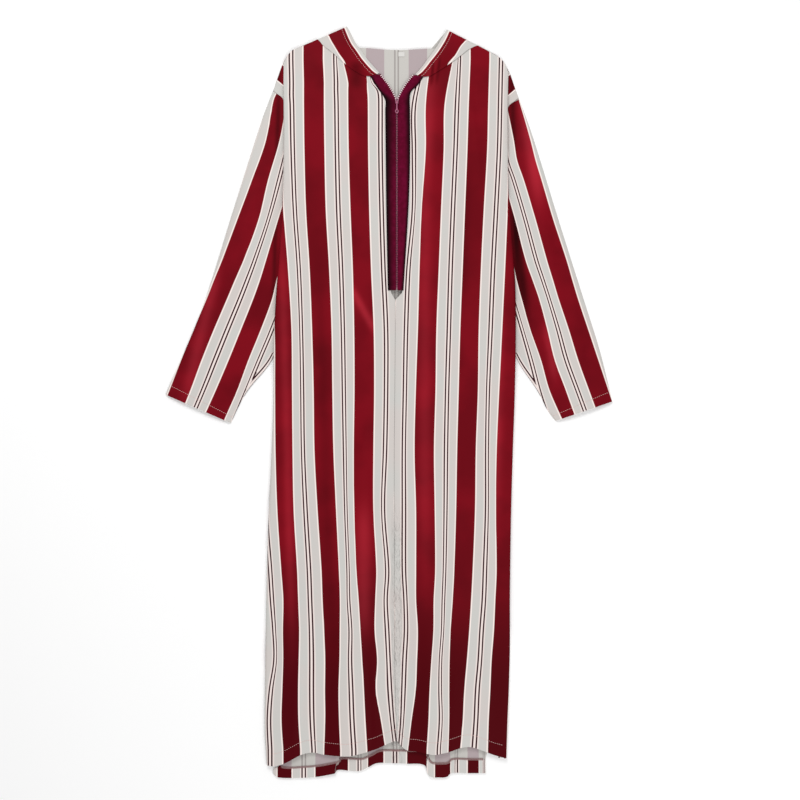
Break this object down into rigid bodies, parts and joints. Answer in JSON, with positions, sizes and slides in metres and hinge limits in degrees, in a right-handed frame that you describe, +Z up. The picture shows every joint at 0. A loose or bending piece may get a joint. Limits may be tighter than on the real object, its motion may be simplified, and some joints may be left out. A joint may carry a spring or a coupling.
{
  "type": "hooded robe",
  "caption": "Full-length striped satin hooded robe with long sleeves and a velvet-edged front zip, lying flat on its back",
  "frame": {"origin": "centre of the bounding box at the level of the surface the robe lies on", "axes": "+Z up from the surface; +Y toward the neck, -Y toward the hem; +X to the viewer's right, looking down with the neck at the top"},
  "size_m": [0.85, 1.4292, 0.0175],
  "materials": {
    "striped_cloth": "woven satin, red and off-white stripes with maroon lines",
    "velvet": "burgundy velvet",
    "zip_tape": "dusky pink tape and moulded teeth",
    "zip_metal": "coated, satin",
    "label": "plain woven tape"
  },
  "bodies": {
    "robe": {"back_panel": "striped_cloth", "back_panel_upper": "striped_cloth", "front_left": "striped_cloth", "front_side_left": "striped_cloth", "front_right": "striped_cloth", "front_side_right": "striped_cloth", "sleeve_left": "striped_cloth", "sleeve_right": "striped_cloth", "hood_left": "striped_cloth", "hood_right": "striped_cloth", "placket_left": "velvet", "placket_right": "velvet", "zip_left": "zip_tape", "zip_right": "zip_tape", "zip_slider": "zip_metal", "neck_label": "label"},
    "pull": {"zip_pull": "zip_metal"}
  },
  "joints": [
    {"name": "pull_hinge", "type": "hinge", "parent": "robe", "child": "pull", "pos_m": [0.013, 0.5685, 0.016], "axis": [-1, 0, 0], "range_deg": [0, 150]}
  ]
}
